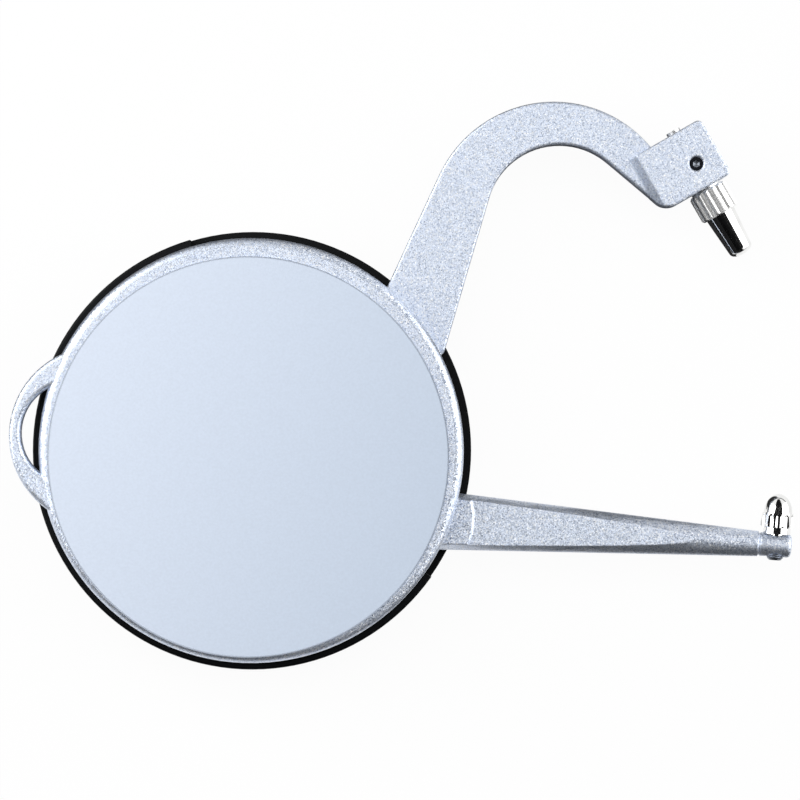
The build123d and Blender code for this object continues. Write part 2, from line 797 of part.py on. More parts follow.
# Lower contact: threaded shank, foot, fluted collar and dome
lower_start = level(arm_end, measuring_height)
lower_collar_start = lower_seat + lower_foot_length
lower_collar_end = lower_collar_start + lower_collar_length
lower_shank_end = end_boss_radius + lower_thread_stand_out
with BuildPart() as lower_contact:
    with BuildSketch(Plane(origin=lower_start, x_dir=heading(lower_contact_angle), z_dir=(0, 0, 1))):
        with BuildLine():
            Polyline(
                (lower_collar_end + lower_dome_height, 0),
                (-lower_shank_end, 0),
                (-lower_shank_end, lower_thread_radius - lower_thread_bevel),
                (lower_thread_bevel - lower_shank_end, lower_thread_radius),
                (lower_seat, lower_thread_radius),
                (lower_seat, lower_foot_radius),
                (lower_collar_start, lower_foot_radius),
                (lower_collar_start, lower_collar_radius - lower_collar_bevel),
                (lower_collar_start + lower_collar_bevel, lower_collar_radius),
                (lower_collar_end, lower_collar_tip_radius),
                (lower_collar_end, lower_dome_radius),
            )
            EllipticalCenterArc(
                (lower_collar_end, 0),
                lower_dome_height,
                lower_dome_radius,
                start_angle=0,
                arc_size=quarter_turn,
            )
        make_face()
    revolve(axis=Axis(lower_start, heading(lower_contact_angle)))
    flute_circle = lower_collar_radius + lower_flute_radius - lower_flute_depth
    with BuildSketch(contact_plane.offset(lower_collar_start)):
        with PolarLocations(flute_circle, lower_flute_count):
            Circle(lower_flute_radius)
    extrude(amount=lower_flute_length, mode=Mode.SUBTRACT)
    # Each flute runs out in a pointed end on the dome
    with BuildSketch(contact_plane.offset(lower_collar_start + lower_flute_length)):
        with PolarLocations(flute_circle, lower_flute_count):
            Circle(lower_flute_radius)
    extrude(amount=lower_flute_run_out, taper=lower_flute_taper_angle, mode=Mode.SUBTRACT)

# Pivot shaft, pressed into the casting's boss
with BuildPart() as pivot_shaft:
    with BuildSketch(Plane.XY.offset(shaft_bottom)):
        Circle(shaft_radius)
    extrude(amount=bore_top - axial_gap - shaft_bottom)
    chamfer(pivot_shaft.edges().filter_by(GeomType.CIRCLE), shaft_chamfer)
    with BuildSketch(Plane.XY.offset(retainer_bottom)):
        Circle(shaft_radius)
        Circle(shaft_radius - groove_depth, mode=Mode.SUBTRACT)
    extrude(amount=retaining_ring_thickness, mode=Mode.SUBTRACT)

# Two flanged bushes, pressed into the hub from its two ends
bush_length = (hub_top - plate_bottom) / 2 - bush_end_gap
with BuildPart() as pivot_bushes:
    for face, inward in ((plate_bottom, 1), (hub_top, -1)):
        with BuildSketch(Plane.XY.offset(face)):
            Circle(bush_radius)
            Circle(shaft_radius + running_gap, mode=Mode.SUBTRACT)
        extrude(amount=inward * bush_length)
        with BuildSketch(Plane.XY.offset(face)):
            Circle(bush_flange_radius)
            Circle(shaft_radius + running_gap, mode=Mode.SUBTRACT)
        extrude(amount=-inward * bush_flange_thickness)

# Washers and the ring that keep the hub on the shaft
thrust_washer = washer(
    shaft_radius + running_gap, bush_flange_radius - washer_margin, washer_bottom, thrust_washer_thickness
)
with BuildPart() as retaining_ring:
    with BuildSketch(Plane.XY.offset(retainer_bottom)):
        Circle(retaining_ring_radius)
        Circle(shaft_radius - groove_depth + running_gap, mode=Mode.SUBTRACT)
        Rectangle(
            retaining_ring_radius, retaining_ring_mouth, align=(Align.MIN, Align.CENTER), mode=Mode.SUBTRACT
        )
    extrude(amount=retaining_ring_thickness)

# Bent spring washer between the hub and the casting's boss
washer_reach = bush_flange_radius - washer_margin
spring_bottom = hub_top + bush_flange_thickness + axial_gap
with BuildPart() as spring_washer:
    with BuildSketch(Plane.XZ):
        with BuildLine():
            bows = [
                ThreePointArc((-washer_reach, side), (0, side + spring_washer_bow), (washer_reach, side))
                for side in (spring_bottom, spring_bottom + spring_washer_thickness)
            ]
            Line(bows[0] @ 0, bows[1] @ 0)
            Line(bows[0] @ 1, bows[1] @ 1)
        make_face()
    extrude(amount=washer_reach, both=True)
    with BuildSketch(Plane.XY.offset(spring_bottom)):
        Circle(washer_reach)
        Circle(shaft_radius + spring_washer_gap, mode=Mode.SUBTRACT)
    extrude(amount=washer_room, mode=Mode.INTERSECT)

# Stop pin, pressed into the casting and running in the hub's slot
with BuildPart() as stop_pin:
    with BuildSketch(Plane.XY.offset(plate_bottom + stop_pin_end_gap)):
        with PolarLocations(stop_radius, 1, start_angle=stop_angle):
            Circle(stop_pin_radius)
    extrude(amount=bore_top - axial_gap - plate_bottom - stop_pin_end_gap)

# Encoder rotor, fixed under the hub
encoder_rotor = washer(bush_flange_radius + rotor_flange_gap, rotor_radius, rotor_bottom, rotor_thickness)

# Back label
with BuildPart() as back_label:
    with BuildSketch(Plane.XY.offset(cover_face)):
        with Locations((label_shift_x, label_shift_y)):
            Circle(label_radius)
    extrude(amount=label_thickness)

# Display: lens, glass and the elastomer strip that joins the glass to the board
with BuildPart() as display_lens:
    with BuildSketch(Plane.XY.offset(rim_height + lens_sink)):
        with Locations((0, lcd_offset)):
            RectangleRounded(lens_length, lens_width, lens_corner)
    extrude(amount=lens_thickness)
with BuildPart() as lcd_panel:
    with BuildSketch(Plane.XY.offset(lcd_bottom)):
        with Locations((0, lcd_offset)):
            Rectangle(lcd_length, lcd_width)
    extrude(amount=lcd_thickness)
with BuildPart() as zebra_strip:
    with BuildSketch(Plane.XY.offset(lcd_bottom + lcd_thickness)):
        with Locations((0, lcd_offset + lcd_width / 2 - zebra_inset)):
            Rectangle(lcd_length - 2 * zebra_end_gap, zebra_width, align=(Align.CENTER, Align.MAX))
    extrude(amount=zebra_height)

# Circuit board, cut out round the pivot, the posts and the battery
with BuildPart() as main_board:
    with BuildSketch(Plane.XY.offset(board_bottom)):
        Circle(board_radius)
        Circle(board_hole_radius, mode=Mode.SUBTRACT)
        for angle in post_angles:
            with PolarLocations(post_circle, 1, start_angle=angle):
                Circle(post_radius + board_post_gap, mode=Mode.SUBTRACT)
                Rectangle(
                    case_radius - post_circle,
                    post_web + 2 * board_post_gap,
                    align=(Align.MIN, Align.CENTER),
                    mode=Mode.SUBTRACT,
                )
        with PolarLocations(board_post_circle, board_post_count, start_angle=board_post_turn):
            Circle(screw_radius + screw_hole_gap, mode=Mode.SUBTRACT)
        with Locations(cell_place):
            Circle(cell_hole_radius, mode=Mode.SUBTRACT)
            Rectangle(
                2 * cell_hole_radius,
                case_radius + cell_y,
                align=(Align.CENTER, Align.MAX),
                mode=Mode.SUBTRACT,
            )
    extrude(amount=board_thickness)

# Controller chip under its blob of resin
with BuildPart() as controller_chip:
    with BuildSketch(Plane.XY.offset(board_top)):
        with Locations((chip_x, chip_y)):
            Circle(chip_radius)
    extrude(amount=chip_height)
    fillet(controller_chip.edges().sort_by(Axis.Z)[-1], chip_rounding)

# Four countersunk case screws under the label
case_screw_top = cover_face - case_screw_sink
with BuildPart() as case_screws:
    for place in post_places:
        with BuildSketch(Plane(origin=level(place, case_screw_top))):
            Circle(screw_radius)
        extrude(amount=-case_screw_length)
        with BuildSketch(Plane(origin=level(place, case_screw_top))):
            Circle(case_screw_head_radius)
        extrude(amount=-(case_screw_head_radius - screw_radius), taper=quarter_turn / 2)
        with BuildSketch(Plane(origin=level(place, case_screw_top))):
            Rectangle(2 * screw_radius, cross_width)
            Rectangle(cross_width, 2 * screw_radius)
        extrude(amount=-cross_depth, mode=Mode.SUBTRACT)

# Three pan-head screws that hold the board on its posts
with BuildPart() as board_screws:
    with BuildSketch(Plane.XY.offset(board_top)):
        with PolarLocations(board_post_circle, board_post_count, start_angle=board_post_turn):
            Circle(screw_radius)
    extrude(amount=-board_screw_length)
    with BuildSketch(Plane.XY.offset(board_top)):
        with PolarLocations(board_post_circle, board_post_count, start_angle=board_post_turn):
            Circle(board_screw_head_radius)
    extrude(amount=board_screw_head_height)
    with BuildSketch(Plane.XY.offset(board_top + board_screw_head_height)):
        with PolarLocations(board_post_circle, board_post_count, start_angle=board_post_turn):
            Rectangle(2 * screw_radius, cross_width)
            Rectangle(cross_width, 2 * screw_radius)
    extrude(amount=-cross_depth, mode=Mode.SUBTRACT)


def push_button(place):
    """One key: a cap through the front wall, a flange that stops it, and a stem above its dome."""
    button_face = rim_height - button_proud
    flange_start = front_inner + button_flange_gap
    with BuildPart() as button:
        with BuildSketch(Plane(origin=level(place, button_face))):
            Circle(button_radius)
        extrude(amount=flange_start - button_face)
        fillet(button.edges().group_by(Axis.Z)[0], button_rounding)
        with BuildSketch(Plane(origin=level(place, flange_start))):
            Circle(button_flange_radius)
        extrude(amount=button_flange_thickness)
        with BuildSketch(Plane(origin=level(place, flange_start))):
            Circle(button_stem_radius)
        extrude(amount=button_stem_top - flange_start)
    return button


button_left, button_middle, button_right = [push_button(place) for place in button_places]

# Rubber mat with one dome under each key
with BuildPart() as key_mat:
    mat_width = 2 * (key_dome_radius + key_mat_margin)
    with BuildSketch(Plane.XY.offset(board_bottom)):
        with Locations((0, button_y)):
            RectangleRounded(2 * button_spacing + mat_width, mat_width, key_mat_margin)
    extrude(amount=-key_mat_thickness)
    with BuildSketch(Plane.XY.offset(board_bottom - key_mat_thickness)):
        with Locations(button_places):
            Circle(key_dome_radius)
    extrude(amount=-key_dome_height, taper=key_dome_slope)

# Button cell
with BuildPart() as battery_cell:
    with BuildSketch(Plane.XY.offset(cell_bottom)):
        with Locations(cell_place):
            Circle(cell_radius)
    extrude(amount=cell_height - cell_step_height)
    fillet(battery_cell.edges().filter_by(GeomType.CIRCLE), cell_rounding)
    with BuildSketch(Plane.XY.offset(cell_bottom)):
        with Locations(cell_place):
            Circle(cell_radius - cell_step)
    extrude(amount=cell_height)

# Battery cap: flange with a coin slot, hollow plug and two bayonet lugs
with BuildPart() as battery_cap:
    with BuildSketch(Plane.XY.offset(cap_face)):
        with Locations(cell_place):
            Circle(cap_flange_radius)
    extrude(amount=cap_flange_thickness)
    with BuildSketch(Plane.XY.offset(cap_face)):
        with Locations(cell_place):
            Circle(cap_plug_radius)
    extrude(amount=cap_top - cap_face)
    with BuildSketch(Plane.XY.offset(cap_top)):
        with Locations(cell_place):
            Circle(cap_lug_radius)
            Rectangle(2 * cap_lug_radius, cap_lug_width, mode=Mode.INTERSECT)
    extrude(amount=-cap_lug_thickness)
    with BuildSketch(Plane.XY.offset(cap_face + cap_floor)):
        with Locations(cell_place):
            Circle(cap_recess_radius)
    extrude(amount=cap_top - cap_face, mode=Mode.SUBTRACT)
    with BuildSketch(Plane.XY.offset(cap_face)):
        with Locations(cell_place):
            SlotOverall(coin_slot_length, coin_slot_width)
    extrude(amount=coin_slot_depth, mode=Mode.SUBTRACT)

# Sealing ring behind the cap's flange
with BuildPart() as battery_cap_seal:
    with BuildSketch(Plane.XY.offset(cap_face + cap_flange_thickness)):
        with Locations(cell_place):
            Circle(cap_plug_radius + press_gap + seal_width)
            Circle(cap_plug_radius + press_gap, mode=Mode.SUBTRACT)
    extrude(amount=seal_thickness)

# Spring strip on the cell's top, with its foot on the board
top_strip = cell_top + axial_gap
ramp_start = -cell_hole_radius - contact_ramp_gap
with BuildPart() as cell_contact_top:
    with BuildSketch(Plane.XZ.offset(-cell_y)):
        with BuildLine():
            Polyline(
                (ramp_start - contact_foot, board_top),
                (ramp_start, board_top),
                (ramp_start + contact_rise_run, top_strip),
                (contact_overrun, top_strip),
                (contact_overrun, top_strip + contact_strip),
                (ramp_start + contact_rise_run, top_strip + contact_strip),
                (ramp_start, board_top + contact_strip),
                (ramp_start - contact_foot, board_top + contact_strip),
                close=True,
            )
        make_face()
    extrude(amount=contact_strip_width / 2, both=True)

# Spring strip beside the cell
leg_start = cell_radius + axial_gap
with BuildPart() as cell_contact_side:
    with BuildSketch(Plane.XZ.offset(-cell_y)):
        with BuildLine():
            Polyline(
                (leg_start, board_bottom - contact_leg),
                (leg_start + contact_strip, board_bottom - contact_leg),
                (leg_start + contact_strip, board_top),
                (cell_hole_radius + contact_foot, board_top),
                (cell_hole_radius + contact_foot, board_top + contact_strip),
                (leg_start, board_top + contact_strip),
                close=True,
            )
        make_face()
    extrude(amount=contact_strip_width / 2, both=True)

pieces = {
    "front_housing": front_housing,
    "rear_casting": rear_casting,
    "back_label": back_label,
    "lower_contact": lower_contact,
    "hook_arm": hook_arm,
    "upper_contact": upper_contact,
    "contact_set_screw": contact_set_screw,
    "pivot_shaft": pivot_shaft,
    "pivot_bushes": pivot_bushes,
    "spring_washer": spring_washer,
    "thrust_washer": thrust_washer,
    "retaining_ring": retaining_ring,
    "stop_pin": stop_pin,
    "encoder_rotor": encoder_rotor,
    "main_board": main_board,
    "controller_chip": controller_chip,
    "display_lens": display_lens,
    "lcd_panel": lcd_panel,
    "zebra_strip": zebra_strip,
    "key_mat": key_mat,
    "button_left": button_left,
    "button_middle": button_middle,
    "button_right": button_right,
    "battery_cell": battery_cell,
    "battery_cap": battery_cap,
    "battery_cap_seal": battery_cap_seal,
    "cell_contact_top": cell_contact_top,
    "cell_contact_side": cell_contact_side,
    "case_screws": case_screws,
    "board_screws": board_screws,
}
os.makedirs("parts", exist_ok=True)
for name, piece in pieces.items():
    piece.part.label = name
    export_step(piece.part, f"parts/{name}.step")
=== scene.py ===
"""Looks of the digital thickness gauge, lying on its display side and seen square on to its back.

Lengths are in metres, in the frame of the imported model: Z points out of the gauge's back.
"""

from math import cos, hypot, pi, radians, sin

import bmesh
import bpy
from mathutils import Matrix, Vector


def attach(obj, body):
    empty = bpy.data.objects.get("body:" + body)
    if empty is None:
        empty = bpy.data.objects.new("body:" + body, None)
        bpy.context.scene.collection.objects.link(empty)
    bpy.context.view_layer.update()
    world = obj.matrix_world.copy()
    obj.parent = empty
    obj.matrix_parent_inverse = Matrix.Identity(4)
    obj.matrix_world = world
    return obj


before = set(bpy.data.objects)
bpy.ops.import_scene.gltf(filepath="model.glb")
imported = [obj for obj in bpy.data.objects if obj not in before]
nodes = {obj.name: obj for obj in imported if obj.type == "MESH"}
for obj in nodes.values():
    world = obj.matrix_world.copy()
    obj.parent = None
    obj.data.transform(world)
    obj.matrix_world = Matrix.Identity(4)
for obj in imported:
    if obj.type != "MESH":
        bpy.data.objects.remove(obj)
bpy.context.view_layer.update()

MM = 0.001

# Camera, straight above the back
CAMERA_PLACE = (0.0202, 0.00686, 0.600)
CAMERA_LENS = 194.0
SENSOR_WIDTH = 36.0

# Silver paint: width and tilt of its flakes, and how far cast edges are rounded
FLAKE = 0.13 * MM
FLAKE_TILT = 0.28
CAST_ROUNDING = 0.28 * MM

# Black moulding: its colour and the width of its rubbed edges
BLACK = (8, 10, 12)
RUBBED_EDGE = 0.12 * MM

# Label: its radius, the way its painted light makes it paler, and its painted edge shadow's width
LABEL_RADIUS = 27 * MM
LABEL_LIGHT_WAY = (-0.94, 0.34, 0)
LABEL_SHADOW_LINE = 0.40 * MM

# Nickel plate, and on it the satin band's roughness and how far its end fades to either side
NICKEL = (247, 247, 246)
SATIN_ROUGHNESS = 0.33
SATIN_FADE = 0.05 * MM

# The lower contact's foot on its arm, and the angle at which the contact points
ARM_END = (71.686 * MM, -13.006 * MM, 9.1 * MM)
LOWER_AXIS = radians(85.8)

# The upper contact: where it leaves its block, the way it points, and its collar's satin band
UPPER_SEAT = (62.083 * MM, 35.877 * MM, 9.1 * MM)
UPPER_WAY = (cos(radians(-60)), sin(radians(-60)), 0)
UPPER_COLLAR = (UPPER_SEAT, UPPER_WAY, 4.12 * MM)

# The set screw's socket floor
SOCKET_FLOOR = (60.636 * MM, 39.083 * MM, 11.35 * MM)

# Display: its face, the line of its digits, and their pitch, height, width, bar and slant
DISPLAY_FACE = 2.45 * MM
DISPLAY_Y = 10.0 * MM
DIGIT_PITCH = 6.6 * MM
DIGIT_HEIGHT = 7.6 * MM
DIGIT_WIDTH = 3.9 * MM
DIGIT_BAR = 0.8 * MM
DIGIT_SLANT = 0.1

# Decimal points: their radius, and where they stand beside a digit's centre
POINT_RADIUS = 0.42 * MM
POINT_SHIFT = 0.3 * MM
POINT_DROP = 3.8 * MM

# Studio: the point that the lamps face, and the weak light from all round
CENTRE = (0.02, 0.007, 0.01)
AMBIENT = 0.07
AMBIENT_TINT = (0.94, 0.97, 1.0, 1)

# Floor: its tone where it is seen, the share of plain white shown there, and its tone for the
# light that it throws on the gauge
FLOOR_TONE = 0.97
FLOOR_WHITE = 0.955
FLOOR_BOUNCE = 0.32

# Flags: their colour, the height of the upper ones, and the lift of the low ones off the floor
FLAG_BLACK = (0.004, 0.004, 0.005)
FLAG_TOP = 0.72
FLAG_LIFT = 0.0004
WALL_PARTS = 12


# Colours


def linear(color):
    """A colour given in 0-255 steps of the screen, as the shader's linear values."""
    steps = [channel / 255 for channel in color]
    return [s / 12.92 if s <= 0.04045 else ((s + 0.055) / 1.055) ** 2.4 for s in steps] + [1.0]


def shade(color, share):
    """A share of a colour given in 0-255 steps, as linear values."""
    return linear([min(255, channel * share) for channel in color])


def grey(level):
    """A grey given as a linear value."""
    return [level] * 3 + [1.0]


# Materials


class Shader:
    """A material's node tree, with short calls for the nodes that the looks are made of."""

    def __init__(self, name):
        self.material = bpy.data.materials.new(name)
        self.material.use_nodes = True
        self.tree = self.material.node_tree
        self.surface = self.tree.nodes["Principled BSDF"]
        self.place = self.tree.nodes.new("ShaderNodeTexCoord").outputs["Object"]

    def link(self, source, target):
        self.tree.links.new(source, target)

    def set(self, name, value):
        """A number of the surface that is the same all over it."""
        self.surface.inputs[name].default_value = value

    def color(self, source):
        self.link(source, self.surface.inputs["Base Color"])

    def rough(self, source):
        self.link(source, self.surface.inputs["Roughness"])

    def bump(self, height, depth):
        """Relief of a depth in metres."""
        node = self.tree.nodes.new("ShaderNodeBump")
        node.inputs["Strength"].default_value = 1.0
        node.inputs["Distance"].default_value = depth
        self.link(height, node.inputs["Height"])
        self.link(node.outputs["Normal"], self.surface.inputs["Normal"])

    def noise(self, grain, detail=2.0):
        """Smooth noise whose features are about one grain across."""
        texture = self.tree.nodes.new("ShaderNodeTexNoise")
        texture.inputs["Scale"].default_value = 1 / grain
        texture.inputs["Detail"].default_value = detail
        self.link(self.place, texture.inputs["Vector"])
        return texture.outputs["Fac"]

    def flakes(self, size):
        """One random colour for each flake."""
        texture = self.tree.nodes.new("ShaderNodeTexVoronoi")
        texture.inputs["Scale"].default_value = 1 / size
        self.link(self.place, texture.inputs["Vector"])
        return texture.outputs["Color"]

    def flake_levels(self, size):
        """One random value for each flake."""
        split = self.tree.nodes.new("ShaderNodeSeparateColor")
        self.link(self.flakes(size), split.inputs["Color"])
        return split.outputs["Red"]

    def tilted_flakes(self, size, tilt, under):
        """Turns each flake's face its own way by up to a tilt."""
        centred = self.vector("SUBTRACT", self.flakes(size), (0.5, 0.5, 0.5))
        scaled = self.vector("MULTIPLY", centred, (tilt, tilt, tilt))
        turned = self.vector("ADD", under, scaled)
        self.link(self.vector("NORMALIZE", turned), self.surface.inputs["Normal"])

    def rounded(self, radius, samples=6):
        """The surface's direction, with sharp edges rounded off."""
        bevel = self.tree.nodes.new("ShaderNodeBevel")
        bevel.samples = samples
        bevel.inputs["Radius"].default_value = radius
        return bevel.outputs["Normal"]

    def edges(self, radius):
        """White on edges within a radius, black elsewhere."""
        turned, straight = 0.93, 0.995
        geometry = self.tree.nodes.new("ShaderNodeNewGeometry")
        rounded = self.rounded(radius, samples=4)
        likeness = self.vector("DOT_PRODUCT", rounded, geometry.outputs["Normal"])
        return self.spread(likeness, 1.0, 0.0, turned, straight)

    def along(self, foot, way):
        """How far a place is from a foot point in one direction."""
        offset = self.vector("SUBTRACT", self.place, foot)
        return self.vector("DOT_PRODUCT", offset, way)

    def vector(self, operation, first, second=None):
        """A step of vector arithmetic."""
        node = self.tree.nodes.new("ShaderNodeVectorMath")
        node.operation = operation
        self.link(first, node.inputs[0])
        if second is not None:
            self.feed(node.inputs[1], second)
        return node.outputs["Value" if operation == "DOT_PRODUCT" else "Vector"]

    def feed(self, socket, value):
        """Gives a socket another node's output or a fixed value."""
        if hasattr(value, "is_linked"):
            self.link(value, socket)
        else:
            socket.default_value = value

    def ramp(self, value, *stops):
        """Colours between stops, each a position and a colour."""
        node = self.tree.nodes.new("ShaderNodeValToRGB")
        elements = node.color_ramp.elements
        while len(elements) < len(stops):
            elements.new(0.5)
        for element, (position, color) in zip(elements, stops):
            element.position = position
            element.color = color
        self.link(value, node.inputs["Fac"])
        return node.outputs["Color"]

    def spread(self, value, low, high, start=0.0, end=1.0):
        """A value between two levels, as another one goes from start to end."""
        node = self.tree.nodes.new("ShaderNodeMapRange")
        node.inputs["From Min"].default_value = start
        node.inputs["From Max"].default_value = end
        node.inputs["To Min"].default_value = low
        node.inputs["To Max"].default_value = high
        self.link(value, node.inputs["Value"])
        return node.outputs["Result"]

    def combine(self, kind, first, second, factor=1.0):
        """Two colours mixed or multiplied."""
        node = self.tree.nodes.new("ShaderNodeMix")
        node.data_type = "RGBA"
        node.blend_type = kind
        sockets = {socket.identifier: socket for socket in node.inputs}
        self.feed(sockets["Factor_Float"], factor)
        self.feed(sockets["A_Color"], first)
        self.feed(sockets["B_Color"], second)
        return next(s for s in node.outputs if s.identifier == "Result_Color")


def silver_paint():
    """Metallic paint: pale flakes, each with its own tone and tilt, over fine cast grain."""
    look = Shader("silver_paint")
    tone = look.ramp(
        look.flake_levels(FLAKE),
        (0.0, linear((158, 169, 190))),
        (0.2, linear((212, 222, 240))),
        (0.8, linear((232, 240, 253))),
        (1.0, linear((255, 255, 255))),
    )
    grain = look.ramp(look.noise(0.35 * MM, detail=3.0), (0.35, grey(0.95)), (0.65, grey(1.0)))
    look.color(look.combine("MULTIPLY", tone, grain))
    look.set("Metallic", 0.9)
    look.rough(look.spread(look.noise(0.5 * MM), 0.40, 0.49))
    look.tilted_flakes(FLAKE, FLAKE_TILT, look.rounded(CAST_ROUNDING))
    return look.material


def black_moulding():
    """Satin black plastic with a fine spark-eroded grain and rubbed edges."""
    look = Shader("black_moulding")
    grain = look.noise(0.12 * MM, detail=3.0)
    tone = look.ramp(grain, (0.3, shade(BLACK, 0.8)), (0.7, shade(BLACK, 1.15)))
    look.color(look.combine("MIX", tone, shade(BLACK, 2.2), look.edges(RUBBED_EDGE)))
    look.set("Specular IOR Level", 0.12)
    look.rough(look.spread(look.noise(0.5 * MM), 0.34, 0.46))
    look.bump(grain, 0.01 * MM)
    return look.material


def label_film():
    """Pale satin film with a faint fibre, a painted-light tint that gets paler one way, and
    painted shade on its cut edge.
    """
    look = Shader("label_film")
    # Painted light: the tint runs from darker at the lower right to paler at the upper left, where
    # the key lamp falls
    reach = look.along((0, 0, 0), LABEL_LIGHT_WAY)
    across = look.spread(reach, 0.0, 1.0, -LABEL_RADIUS, LABEL_RADIUS)
    tint = look.ramp(across, (0.0, linear((205, 218, 236))), (1.0, linear((224, 234, 250))))
    fibre = look.ramp(look.noise(0.35 * MM, detail=3.0), (0.3, grey(0.95)), (0.7, grey(1.0)))
    film = look.combine("MULTIPLY", tint, fibre)
    # Painted shade: a dark line along the cut edge stands in for the shadow at the label's step
    look.color(look.combine("MIX", film, linear((96, 104, 120)), look.edges(LABEL_SHADOW_LINE)))
    look.rough(look.spread(look.noise(1.2 * MM), 0.40, 0.52))
    look.bump(look.noise(0.5 * MM), 0.003 * MM)
    return look.material


def plated(name, tint, low, high, marks=0.0, satin=None):
    """Plated or bare metal, with its roughness between a low and a high level.

    Marks are turning marks of a depth. Satin is a band that is left rougher: a point, the
    direction along the part, and how far from the point it ends.
    """
    look = Shader(name)
    look.color(look.ramp(look.noise(1.5 * MM), (0.3, shade(tint, 0.94)), (0.7, linear(tint))))
    look.set("Metallic", 1.0)
    rough = look.spread(look.noise(0.4 * MM, detail=3.0), low, high)
    if satin:
        foot, way, end = satin
        reach = look.along(foot, way)
        polished = look.spread(reach, 0.0, 1.0, end - SATIN_FADE, end + SATIN_FADE)
        rough = look.combine("MIX", grey(SATIN_ROUGHNESS), rough, polished)
    look.rough(rough)
    if marks:
        look.bump(look.noise(0.08 * MM), marks)
    return look.material


def plain_stuff(name, tint, low, high, grain=0.3 * MM, contrast=0.12):
    """A dull solid, such as rubber, resin or board, with its own grain and roughness levels."""
    look = Shader(name)
    texture = look.noise(grain, detail=3.0)
    dark, light = shade(tint, 1 - contrast), shade(tint, 1 + contrast)
    look.color(look.ramp(texture, (0.3, dark), (0.7, light)))
    look.rough(look.spread(texture, low, high))
    look.bump(texture, 0.005 * MM)
    return look.material


def clear_acrylic():
    """Clear window with a faint haze."""
    look = Shader("clear_acrylic")
    cloudy, clear = linear((240, 243, 243)), linear((250, 252, 252))
    look.color(look.ramp(look.noise(4 * MM), (0.3, cloudy), (0.7, clear)))
    look.rough(look.spread(look.noise(0.8 * MM), 0.02, 0.07))
    look.set("Transmission Weight", 1.0)
    look.set("IOR", 1.49)
    return look.material


def dress(material, *names):
    """Gives a material to all the slots of these CAD nodes."""
    for name in names:
        for slot in nodes[name].material_slots:
            slot.material = material


# The castings, the case and the label
dress(silver_paint(), "rear_casting", "hook_arm")
dress(black_moulding(), "front_housing", "battery_cap")
dress(label_film(), "back_label")

# Metal parts
dress(plated("knurled_nickel", NICKEL, 0.04, 0.09, satin=UPPER_COLLAR), "upper_contact")
dress(plated("nickel_plate", NICKEL, 0.04, 0.09), "lower_contact")
dress(
    plated("blackened_steel", (44, 46, 52), 0.22, 0.34, marks=0.002 * MM),
    "contact_set_screw",
)
dress(
    plated("ground_steel", (184, 185, 188), 0.18, 0.30, marks=0.001 * MM),
    "pivot_shaft",
    "stop_pin",
)
dress(
    plated("spring_steel", (150, 152, 156), 0.22, 0.34, marks=0.001 * MM),
    "spring_washer",
    "thrust_washer",
    "retaining_ring",
)
dress(plated("sintered_bronze", (186, 146, 92), 0.36, 0.52, marks=0.004 * MM), "pivot_bushes")
dress(
    plated("gold_plate", (218, 182, 108), 0.14, 0.24),
    "cell_contact_top",
    "cell_contact_side",
)
dress(
    plated("zinc_plate", (196, 197, 199), 0.24, 0.38, marks=0.001 * MM),
    "case_screws",
    "board_screws",
)
dress(plated("cell_can", (206, 206, 205), 0.10, 0.20), "battery_cell")

# Boards, plastics and rubbers
dress(plain_stuff("solder_mask", (34, 104, 62), 0.30, 0.42), "main_board", "encoder_rotor")
dress(plain_stuff("potting_resin", (20, 20, 22), 0.14, 0.26, grain=1.5 * MM), "controller_chip")
dress(
    plain_stuff("key_plastic", (120, 128, 138), 0.38, 0.50, grain=0.15 * MM, contrast=0.06),
    "button_left",
    "button_middle",
    "button_right",
)
dress(plain_stuff("mat_silicone", (176, 178, 182), 0.50, 0.62), "key_mat")
dress(
    plain_stuff("zebra_rubber", (190, 190, 196), 0.50, 0.62, grain=0.1 * MM, contrast=0.3),
    "zebra_strip",
)
dress(plain_stuff("nitrile_rubber", (26, 26, 27), 0.52, 0.66), "battery_cap_seal")
dress(
    plain_stuff("display_glass", (150, 160, 142), 0.10, 0.18, grain=2 * MM, contrast=0.03),
    "lcd_panel",
)
dress(clear_acrylic(), "display_lens")


# Small forms that the solids leave out


def add(thing):
    """Puts an object in the scene."""
    bpy.context.scene.collection.objects.link(thing)


def shown_mesh(name, points, faces, body, material):
    """A piece of the gauge made from points and faces, with its faces turned outwards."""
    mesh = bpy.data.meshes.new(name)
    shape = bmesh.new()
    corners = [shape.verts.new(point) for point in points]
    for face in faces:
        shape.faces.new([corners[index] for index in face])
    bmesh.ops.recalc_face_normals(shape, faces=shape.faces)
    shape.to_mesh(mesh)
    shape.free()
    mesh.materials.append(material)
    piece = bpy.data.objects.new(name, mesh)
    add(piece)
    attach(piece, body)


def band(first, count):
    """The faces between a ring of points and the ring that follows it."""
    faces = []
    for turn in range(count):
        after = (turn + 1) % count
        faces.append((first + turn, first + after, first + count + after, first + count + turn))
    return faces


def contact_thread(material):
    """Fine thread on the lower contact's end, where it comes out under the arm."""
    start, end, bevel_start = 1.20 * MM, 2.08 * MM, 1.77 * MM
    root, ridge, pitch = 1.056 * MM, 0.08 * MM, 0.25 * MM
    around, steps = 72, 28
    along = Vector((cos(LOWER_AXIS), sin(LOWER_AXIS), 0))
    side = Vector((-sin(LOWER_AXIS), cos(LOWER_AXIS), 0))
    up = Vector((0, 0, 1))
    points = []
    for step in range(steps + 1):
        reach = start + (end - start) * step / steps
        for turn in range(around):
            angle = 2 * pi * turn / around
            phase = (reach / pitch - turn / around) % 1
            radius = root + ridge * (1 - abs(2 * phase - 1)) - max(0, reach - bevel_start)
            centre = Vector(ARM_END) - along * reach
            points.append(centre + side * (radius * cos(angle)) + up * (radius * sin(angle)))
    faces = []
    for first in range(0, steps * around, around):
        faces += band(first, around)
    faces += [range(around), range(steps * around, (steps + 1) * around)]
    shown_mesh("contact_thread", points, faces, "case", material)


